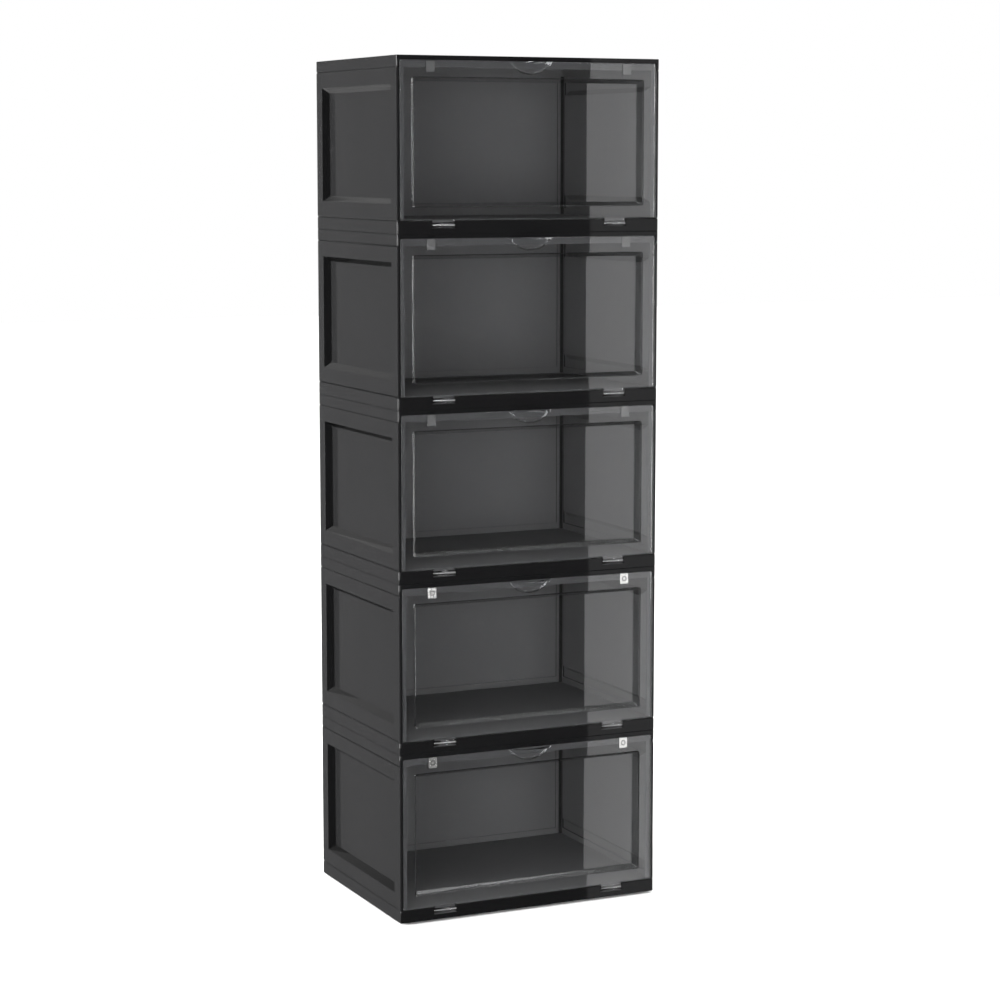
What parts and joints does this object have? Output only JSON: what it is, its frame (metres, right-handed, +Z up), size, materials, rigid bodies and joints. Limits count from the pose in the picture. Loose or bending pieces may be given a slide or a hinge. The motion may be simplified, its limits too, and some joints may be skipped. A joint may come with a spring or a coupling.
{
  "type": "shoe box",
  "caption": "Stack of drop-front shoe boxes in dark plastic, each with recessed side panels and a clear, dished, hinged door with a finger pull.",
  "frame": {"origin": "centre of the bounding box in plan, finger pulls included, at the underside of the feet", "axes": "+X to the right across the doors, +Y from the doors to the back, +Z up through the stack"},
  "size_m": [0.36, 0.2779, 1.0828],
  "materials": {
    "black_plastic": "fine satin moulding, dark charcoal",
    "clear_plastic": "polished, transparent, slightly grey",
    "steel": "drawn wire",
    "nickel": "bright nickel plating",
    "smoked_nickel": "dark nickel plating",
    "ferrite": "bare ferrite magnet"
  },
  "bodies": {
    "box_1": {"base_1": "black_plastic", "cover_1": "black_plastic", "left_panel_1": "black_plastic", "right_panel_1": "black_plastic", "back_panel_1": "black_plastic", "hinge_pins_1": "steel", "keeper_magnets_1": "ferrite"},
    "door_1": {"door_1": "clear_plastic", "door_magnets_1": "nickel"},
    "box_2": {"base_2": "black_plastic", "cover_2": "black_plastic", "left_panel_2": "black_plastic", "right_panel_2": "black_plastic", "back_panel_2": "black_plastic", "hinge_pins_2": "steel", "keeper_magnets_2": "ferrite"},
    "door_2": {"door_2": "clear_plastic", "door_magnets_2": "nickel"},
    "box_3": {"base_3": "black_plastic", "cover_3": "black_plastic", "left_panel_3": "black_plastic", "right_panel_3": "black_plastic", "back_panel_3": "black_plastic", "hinge_pins_3": "steel", "keeper_magnets_3": "ferrite"},
    "door_3": {"door_3": "clear_plastic", "door_magnets_3": "smoked_nickel"},
    "box_4": {"base_4": "black_plastic", "cover_4": "black_plastic", "left_panel_4": "black_plastic", "right_panel_4": "black_plastic", "back_panel_4": "black_plastic", "hinge_pins_4": "steel", "keeper_magnets_4": "ferrite"},
    "door_4": {"door_4": "clear_plastic", "door_magnets_4": "smoked_nickel"},
    "box_5": {"base_5": "black_plastic", "cover_5": "black_plastic", "left_panel_5": "black_plastic", "right_panel_5": "black_plastic", "back_panel_5": "black_plastic", "hinge_pins_5": "steel", "keeper_magnets_5": "ferrite"},
    "door_5": {"door_5": "clear_plastic", "door_magnets_5": "smoked_nickel"}
  },
  "joints": [
    {"name": "door_hinge_1", "type": "hinge", "parent": "box_1", "child": "door_1", "pos_m": [0, -0.12562, 0.0136], "axis": [1, 0, 0], "range_deg": [0, 90]},
    {"name": "lift_2", "type": "slide", "parent": "box_1", "child": "box_2", "axis": [0, 0, 1], "range_m": [0, 0.06]},
    {"name": "door_hinge_2", "type": "hinge", "parent": "box_2", "child": "door_2", "pos_m": [0, -0.12562, 0.2296], "axis": [1, 0, 0], "range_deg": [0, 100]},
    {"name": "lift_3", "type": "slide", "parent": "box_2", "child": "box_3", "axis": [0, 0, 1], "range_m": [0, 0.06]},
    {"name": "door_hinge_3", "type": "hinge", "parent": "box_3", "child": "door_3", "pos_m": [0, -0.12562, 0.4456], "axis": [1, 0, 0], "range_deg": [0, 100]},
    {"name": "lift_4", "type": "slide", "parent": "box_3", "child": "box_4", "axis": [0, 0, 1], "range_m": [0, 0.06]},
    {"name": "door_hinge_4", "type": "hinge", "parent": "box_4", "child": "door_4", "pos_m": [0, -0.12562, 0.6616], "axis": [1, 0, 0], "range_deg": [0, 100]},
    {"name": "lift_5", "type": "slide", "parent": "box_4", "child": "box_5", "axis": [0, 0, 1], "range_m": [0, 0.06]},
    {"name": "door_hinge_5", "type": "hinge", "parent": "box_5", "child": "door_5", "pos_m": [0, -0.12562, 0.8776], "axis": [1, 0, 0], "range_deg": [0, 100]}
  ]
}
